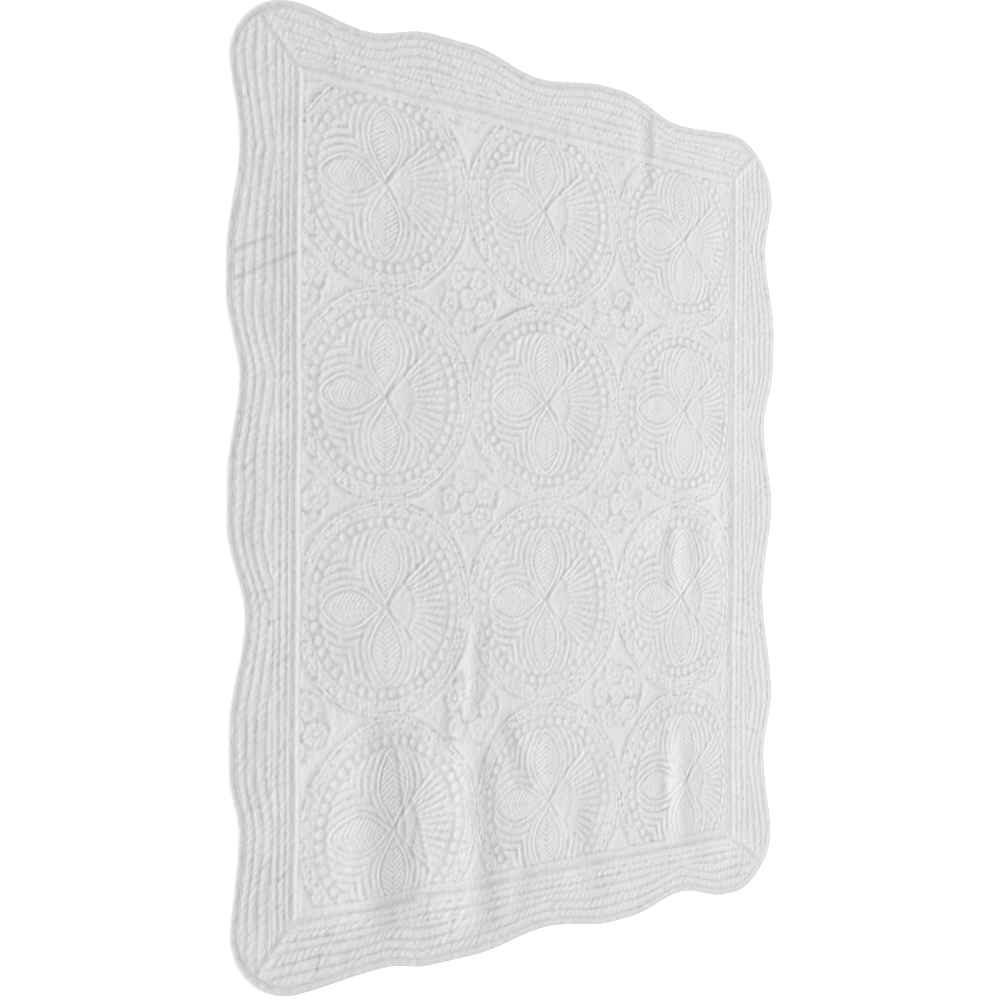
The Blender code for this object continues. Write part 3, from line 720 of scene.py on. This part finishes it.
def cloth_mesh(name, points, normals=None, painted_shade=None, uv=None):
    """A smooth mesh over a grid of points, its faces up where rows run along +Y and columns along +X."""
    rows, columns = points.shape[:2]
    index = np.arange(rows * columns, dtype=np.int32).reshape(rows, columns)
    quads = np.stack([index[:-1, :-1], index[:-1, 1:], index[1:, 1:], index[1:, :-1]], -1).reshape(-1, 4)
    mesh = bpy.data.meshes.new(name)
    mesh.vertices.add(rows * columns)
    mesh.vertices.foreach_set("co", points.astype(np.float32).ravel())
    mesh.loops.add(quads.size)
    mesh.loops.foreach_set("vertex_index", quads.ravel())
    mesh.polygons.add(len(quads))
    mesh.polygons.foreach_set("loop_start", np.arange(0, quads.size, 4, dtype=np.int32))
    mesh.update(calc_edges=True)
    mesh.shade_smooth()
    # The share of painted shade at each place is kept as an attribute, which the material reads.
    if painted_shade is not None:
        mesh.attributes.new("painted_shade", "FLOAT", "POINT").data.foreach_set(
            "value", painted_shade.astype(np.float32).ravel()
        )
    if uv is not None:
        layer = mesh.uv_layers.new(name="cloth")
        layer.uv.foreach_set("vector", uv.reshape(-1, 2)[quads.ravel()].astype(np.float32).ravel())
    if normals is not None:
        mesh.normals_split_custom_set_from_vertices(normals.reshape(-1, 3))
    piece = bpy.data.objects.new(name, mesh)
    bpy.context.scene.collection.objects.link(piece)
    return piece


def cell_mean(surface, x, y, step):
    """A surface's mean over four places round each grid place, so that narrow lines don't break up."""
    near = step / 4
    places = ((-near, -near), (near, -near), (-near, near), (near, near))
    return sum(surface(x + off_x, y + off_y) for off_x, off_y in places) / len(places)


def box_mean(height, reach):
    """Mean of a grid over squares of its places, by differences of running sums."""
    side = 2 * reach + 1
    sums = np.pad(height, reach, mode="edge").cumsum(0).cumsum(1)
    sums = np.pad(sums, ((1, 0), (1, 0)))
    return (sums[side:, side:] - sums[:-side, side:] - sums[side:, :-side] + sums[:-side, :-side]) / side**2


def painted_shade_share(height):
    """Painted shade from how far a place lies under the mean height round it: 0 on the puffs, 1 in the
    stitched lines.
    """
    return np.clip((box_mean(height, WIDE_MEAN) - box_mean(height, NEAR_MEAN)) / FULL_PAINTED_SHADE, 0, 1)


def faces_up(side, *grids):
    """Grids laid along a side and outward, turned where that would leave their faces down."""
    return [grid[::-1] if side in ("right", "foot") else grid for grid in grids]


def finish_cloth(piece, material, node=None):
    """Gives a cloth its material and its place in the table, and hides the solid that it takes the place of.
    """
    piece.data.materials.append(material)
    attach(piece, "root")
    if node:
        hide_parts(node)


def add_node(tree, kind, inputs, **settings):
    """Adds a node with its settings, and gives each named input a value or a link from another's output."""
    node = tree.nodes.new(kind)
    for name, value in settings.items():
        setattr(node, name, value)
    for name, value in inputs.items():
        if isinstance(value, bpy.types.NodeSocket):
            tree.links.new(value, node.inputs[name])
        else:
            node.inputs[name].default_value = value
    return node


def cotton_material(name, colour, painted_shade_colour, thread, turned=0.0, uses_uv=False):
    """Washed cotton percale, plain woven: matt, with a soft bloom of fibre ends and fine wrinkles.

    The weave is two sets of waves across each other, the wrinkles two noises, and shade is painted into the
    stitched lines and creases: there the cloth's colour is mixed towards a greyer one.
    """
    material = bpy.data.materials.new(name)
    material.use_nodes = True
    tree = material.node_tree
    tree.nodes.clear()
    place = add_node(tree, "ShaderNodeTexCoord", {}).outputs["UV" if uses_uv else "Object"]
    turned_place = add_node(
        tree, "ShaderNodeMapping", {"Vector": place, "Rotation": (0.0, 0.0, turned)}
    ).outputs["Vector"]
    # Threads of percale lie 0.3 mm apart, too fine to show here, so they are drawn four times as coarse.
    # A wave texture's bands are pi / (10 * scale) apart.
    waves = np.pi / (10 * thread)
    warp = add_node(
        tree, "ShaderNodeTexWave", {"Vector": turned_place, "Scale": waves, "Distortion": 0.6},
        bands_direction="X",
    ).outputs["Fac"]
    weft = add_node(
        tree, "ShaderNodeTexWave", {"Vector": turned_place, "Scale": waves, "Distortion": 0.6},
        bands_direction="Y",
    ).outputs["Fac"]
    weave = add_node(tree, "ShaderNodeMath", {0: warp, 1: weft}, operation="ADD").outputs[0]
    wrinkles = add_node(
        tree, "ShaderNodeTexNoise", {"Vector": place, "Scale": 160.0, "Detail": 5.0, "Roughness": 0.62}
    ).outputs["Fac"]
    mottle = add_node(
        tree, "ShaderNodeTexNoise", {"Vector": place, "Scale": 26.0, "Detail": 3.0, "Roughness": 0.5}
    ).outputs["Fac"]
    # The attribute gives the share of painted shade, by which the cloth's colour is mixed towards the greyer
    # one.
    depth = add_node(tree, "ShaderNodeAttribute", {}, attribute_name="painted_shade").outputs["Fac"]
    shade = add_node(
        tree, "ShaderNodeMapRange",
        {"Value": mottle, "From Min": 0.3, "From Max": 0.7, "To Min": 0.97, "To Max": 1.0},
    ).outputs["Result"]
    mixed = add_node(tree, "ShaderNodeMix", {"Factor": depth}, data_type="RGBA")
    pale, painted_shade_socket = [socket for socket in mixed.inputs if socket.type == "RGBA"]
    pale.default_value = colour
    painted_shade_socket.default_value = painted_shade_colour
    tone = [socket for socket in mixed.outputs if socket.type == "RGBA"][0]
    tinted = add_node(
        tree, "ShaderNodeVectorMath", {0: tone, "Scale": shade}, operation="SCALE"
    ).outputs["Vector"]
    weave_bump = add_node(
        tree, "ShaderNodeBump", {"Height": weave, "Strength": 0.10, "Distance": 0.0002}
    ).outputs["Normal"]
    bump = add_node(
        tree, "ShaderNodeBump",
        {"Height": wrinkles, "Strength": 0.7, "Distance": 0.0024, "Normal": weave_bump},
    ).outputs["Normal"]
    roughness = add_node(
        tree, "ShaderNodeMapRange", {"Value": wrinkles, "To Min": 0.84, "To Max": 0.96}
    ).outputs["Result"]
    shader = add_node(
        tree, "ShaderNodeBsdfPrincipled",
        {
            "Base Color": tinted, "Roughness": roughness, "Normal": bump, "IOR": 1.47,
            "Specular IOR Level": 0.25, "Sheen Weight": 0.12, "Sheen Roughness": 0.5,
        },
    ).outputs["BSDF"]
    add_node(tree, "ShaderNodeOutputMaterial", {"Surface": shader})
    return material


def floor_material(colour):
    """Matt seamless paper: one even pale colour with the least grain."""
    material = bpy.data.materials.new("seamless_paper")
    material.use_nodes = True
    tree = material.node_tree
    tree.nodes.clear()
    place = add_node(tree, "ShaderNodeTexCoord", {}).outputs["Object"]
    grain = add_node(tree, "ShaderNodeTexNoise", {"Vector": place, "Scale": 400.0}).outputs["Fac"]
    bump = add_node(
        tree, "ShaderNodeBump", {"Height": grain, "Strength": 0.03, "Distance": 0.0002}
    ).outputs["Normal"]
    shader = add_node(
        tree, "ShaderNodeBsdfPrincipled",
        {"Base Color": colour, "Roughness": 0.95, "Specular IOR Level": 0.1, "Normal": bump},
    ).outputs["BSDF"]
    add_node(tree, "ShaderNodeOutputMaterial", {"Surface": shader})
    return material


class BLANKET_OT_backing(bpy.types.Operator):
    """Lays the plain cloth of the underside, dimpled by the quilting"""

    bl_idname = "blanket.backing"
    bl_label = "Backing cloth"

    def execute(self, context):
        sizes, colours = context.scene.blanket_sizes, context.scene.blanket_colours
        share = np.linspace(-1, 1, BACKING_POINTS)[:-1]
        rim = []
        for side, flip in (("foot", 1), ("right", 1), ("head", -1), ("left", -1)):
            reach = ray_reach(side, flip * share, sizes.binding - 0.001)
            rim.append(np.stack(ray_places(side, flip * share, reach, 0.0), -1))
        rim = np.concatenate(rim)
        rim = np.concatenate([rim, rim[:1]])
        shells = np.linspace(1, 0, BACKING_RINGS)[:, None, None]
        flat = shells * rim
        dimple = noise(1000 * flat[..., 0], 1000 * flat[..., 1], 45, 21)
        height = (BACKING + BACKING_DIMPLE * dimple * np.minimum(1, 8 * (1 - shells[..., 0]))) / 1000
        points = placed(np.concatenate([flat, height[..., None]], -1))
        piece = cloth_mesh("backing_cloth", points, painted_shade=np.zeros_like(height))
        # The first and last columns meet, and the last row is one place: both are merged.
        shape = bmesh.new()
        shape.from_mesh(piece.data)
        bmesh.ops.remove_doubles(shape, verts=shape.verts, dist=MERGE_DISTANCE)
        bmesh.ops.reverse_faces(shape, faces=shape.faces)
        shape.to_mesh(piece.data)
        shape.free()
        cotton = cotton_material("plain_cotton_backing", colours.cotton, colours.painted_shade, colours.thread)
        finish_cloth(piece, cotton)
        return {"FINISHED"}


class BLANKET_OT_panel(bpy.types.Operator):
    """Makes the quilted centre panel, one length of cloth for each row of rounds"""

    bl_idname = "blanket.panel"
    bl_label = "Quilted panel"

    def execute(self, context):
        sizes, colours = context.scene.blanket_sizes, context.scene.blanket_colours
        cotton = cotton_material("quilted_washed_cotton", colours.cotton, colours.painted_shade, colours.thread)
        half_x, half_y = PANEL_HALF_WIDTH - SEAM_GAP / 2, PANEL_HALF_LENGTH - SEAM_GAP / 2
        across = np.linspace(-half_x, half_x, int(2 * half_x / sizes.across_step) + 1)
        steps = int(2 * half_y / sizes.along_step / ROWS)
        lengthwise = np.linspace(-half_y, half_y, ROWS * steps + 1)
        x, y = np.meshgrid(across, lengthwise)
        height = cell_mean(lambda u, v: panel_height(1000 * u, 1000 * v, sizes), x, y, sizes.across_step)
        points = placed(np.stack([x, y, height / 1000], -1))
        normals = grid_normals(points)
        # Painted shade, darkest where the cloth lies under the mean height round it, in the stitched lines.
        painted_shade = painted_shade_share(height)
        for row in range(ROWS):
            rows = slice(row * steps, (row + 1) * steps + 1)
            piece = cloth_mesh(f"quilted_row_{row + 1}", points[rows], normals[rows], painted_shade[rows])
            finish_cloth(piece, cotton, "centre_panel")
        return {"FINISHED"}


class BLANKET_OT_borders(bpy.types.Operator):
    """Makes the four channel-quilted border strips between the mitres"""

    bl_idname = "blanket.borders"
    bl_label = "Border strips"

    def execute(self, context):
        sizes, colours = context.scene.blanket_sizes, context.scene.blanket_colours
        cotton = cotton_material("channel_quilted_cotton", colours.cotton, colours.painted_shade, colours.thread)
        for side in SIDES:
            half_along = SIDES[side][3]
            share = np.linspace(-1, 1, int(2 * (half_along + BORDER_WIDTH / 2) / BORDER_STEP) + 1)
            clearance = SEAM_GAP / np.sqrt(2)
            stop = ray_reach(side, share, sizes.binding + SEAM_GAP / 2, clearance)
            reach = np.linspace(SEAM_GAP / 2 / BORDER_WIDTH, stop, BORDER_ROWS)
            x, y = ray_places(side, np.broadcast_to(share, reach.shape), reach, clearance)
            height = cell_mean(lambda u, v: border_height(side, u, v, sizes), x, y, BORDER_CELL)
            points = placed(np.stack([x, y, height / 1000], -1))
            # Painted shade in the stitched lines and along the narrow creases.
            crease_painted_shade = np.minimum(1.5 * crease_depth(1000 * x, 1000 * y), 0.8)
            painted_shade = np.maximum(painted_shade_share(height), crease_painted_shade)
            points, painted_shade = faces_up(side, points, painted_shade)
            piece = cloth_mesh("channel_border_" + side, points, painted_shade=painted_shade)
            finish_cloth(
                piece, cotton, "border_" + side
            )
        return {"FINISHED"}


class BLANKET_OT_binding(bpy.types.Operator):
    """Rolls the bias-cut binding over the scalloped edge, one length for each side"""

    bl_idname = "blanket.binding"
    bl_label = "Bias binding"

    def execute(self, context):
        sizes, colours = context.scene.blanket_sizes, context.scene.blanket_colours
        cotton = cotton_material(
            "bias_cut_cotton", colours.bias, colours.painted_shade, colours.thread, np.pi / 4, True
        )
        width = 1000 * sizes.binding
        roll = CROWN_SHARE * width
        over = np.linspace(0, np.pi / 2, ROLL_STEPS)
        under = np.linspace(0, np.pi / 2, UNDER_STEPS)[1:]
        face = np.linspace(width - 0.05, roll, FACE_STEPS)[:-1]
        top_inset = np.concatenate([face, roll * (1 - np.sin(over))])
        under_inset = 3.0 * (1 - np.cos(under)) ** 2
        under_height = BINDING_RIM * (1 - np.sin(under)) + 0.05
        inset = np.concatenate([top_inset, under_inset, [width]])
        height = np.concatenate([binding_height(top_inset, width), under_height, [0.05]])
        for side in SIDES:
            half_along = SIDES[side][3]
            share = np.linspace(-1, 1, int(2 * (half_along + BORDER_WIDTH) / BINDING_STEP) + 1)
            clearance = SEAM_GAP / np.sqrt(2)
            rows = []
            for depth, rise in zip(inset, height):
                reach = ray_reach(side, share, depth / 1000, clearance)
                x, y = ray_places(side, share, reach, clearance)
                slant = noise(1000 * (x + y), 1000 * (x - y), 9, 22) + 0.6 * noise(1000 * x, 1000 * y, 5, 23)
                wrinkle = 0.42 * slant * np.clip(rise / 4, 0, 1)
                rows.append(np.stack([x, y, (rise + wrinkle) / 1000], -1))
            points = placed(np.array(rows))
            # Painted shade along the binding's line of stitches.
            painted_shade = 0.3 * groove(inset - STITCH_SHARE * width, 0.8)
            painted_shade = np.broadcast_to(painted_shade[:, None], points.shape[:2])
            run = np.cumsum(np.concatenate([[0], np.hypot(*np.diff(points[0, :, :2], axis=0).T)]))
            uv = np.stack(np.broadcast_arrays(run[None, :], inset[:, None] / 1000), -1)
            points, painted_shade, uv = faces_up(side, points, painted_shade, uv)
            piece = cloth_mesh("bias_binding_" + side, points, painted_shade=painted_shade, uv=uv)
            finish_cloth(
                piece, cotton, "binding_" + side
            )
        return {"FINISHED"}


class BLANKET_OT_stage(bpy.types.Operator):
    """Sets the plain pale floor, soft studio light and the camera at the picture's angle"""

    bl_idname = "blanket.stage"
    bl_label = "Stage"

    def execute(self, context):
        colours = context.scene.blanket_colours
        reach = np.linspace(-FLOOR_REACH, FLOOR_REACH, 7)
        x, y = np.meshgrid(reach, reach)
        floor = cloth_mesh("studio_floor", np.stack([x, y, np.full_like(x, -FLOOR_DROP)], -1))
        floor.data.materials.append(floor_material(colours.floor))
        world = bpy.data.worlds.new("studio")
        world.use_nodes = True
        background = world.node_tree.nodes["Background"]
        background.inputs["Color"].default_value = linear_colour("#FFFFFF")
        background.inputs["Strength"].default_value = WORLD_STRENGTH
        context.scene.world = world
        cloths = bpy.data.collections.new("cloths_in_the_key_light")
        for piece in context.scene.objects:
            if piece.type == "MESH" and piece != floor:
                cloths.objects.link(piece)
        paper = bpy.data.collections.new("paper_in_its_own_light")
        paper.objects.link(floor)
        # The paper has a light of its own that the cloth doesn't shade, so it stays an even white.
        for name, energy, lit, blockers in (
            ("key_light", KEY_STRENGTH, cloths, None),
            ("paper_light", PAPER_STRENGTH, paper, paper),
        ):
            sun = bpy.data.lights.new(name, "SUN")
            sun.energy = energy
            sun.angle = np.radians(SUN_SPREAD)
            lamp = bpy.data.objects.new(name, sun)
            lamp.rotation_euler = SUN_DIRECTION.to_track_quat("Z", "Y").to_euler()
            lamp.light_linking.receiver_collection = lit
            lamp.light_linking.blocker_collection = blockers
            context.scene.collection.objects.link(lamp)
        fill = bpy.data.lights.new("fill_light", "AREA")
        fill.shape = "DISK"
        fill.size = FILL_SIZE
        fill.energy = FILL_WATTS
        soft_box = bpy.data.objects.new("fill_light", fill)
        soft_box.location = FILL_PLACE
        soft_box.rotation_euler = FILL_DIRECTION.to_track_quat("Z", "Y").to_euler()
        context.scene.collection.objects.link(soft_box)
        lens = bpy.data.cameras.new("camera")
        lens.lens = CAMERA_LENS
        lens.sensor_width = 36.0
        camera = bpy.data.objects.new("camera", lens)
        back = -CAMERA_VIEW.normalized()
        right = CAMERA_RIGHT.normalized()
        up = back.cross(right).normalized()
        right = up.cross(back)
        turn = Matrix((right, up, back)).transposed().to_4x4()
        camera.matrix_world = Matrix.Translation(CAMERA_PLACE) @ turn
        context.scene.collection.objects.link(camera)
        context.scene.camera = camera
        context.scene.view_settings.view_transform = "Standard"
        return {"FINISHED"}


class BLANKET_PT_sidebar(bpy.types.Panel):
    """Lists the blanket's sizes, colours and steps"""

    bl_label = "Baby blanket"
    bl_space_type = "VIEW_3D"
    bl_region_type = "UI"
    bl_category = "Blanket"

    def draw(self, context):
        for group in (context.scene.blanket_sizes, context.scene.blanket_colours):
            for name in group.__annotations__:
                self.layout.prop(group, name)
        for step in STEPS:
            self.layout.operator(step.bl_idname)


STEPS = (
    BLANKET_OT_backing,
    BLANKET_OT_panel,
    BLANKET_OT_borders,
    BLANKET_OT_binding,
    BLANKET_OT_stage,
)
CLASSES = (BlanketSizes, BlanketColours, *STEPS, BLANKET_PT_sidebar)


def register():
    for cls in CLASSES:
        bpy.utils.register_class(cls)
    bpy.types.Scene.blanket_sizes = bpy.props.PointerProperty(type=BlanketSizes)
    bpy.types.Scene.blanket_colours = bpy.props.PointerProperty(type=BlanketColours)


def unregister():
    del bpy.types.Scene.blanket_colours
    del bpy.types.Scene.blanket_sizes
    for cls in reversed(CLASSES):
        bpy.utils.unregister_class(cls)


def main():
    register()
    bpy.ops.blanket.backing()
    bpy.ops.blanket.panel()
    bpy.ops.blanket.borders()
    bpy.ops.blanket.binding()
    bpy.ops.blanket.stage()


if __name__ == "__main__":
    main()
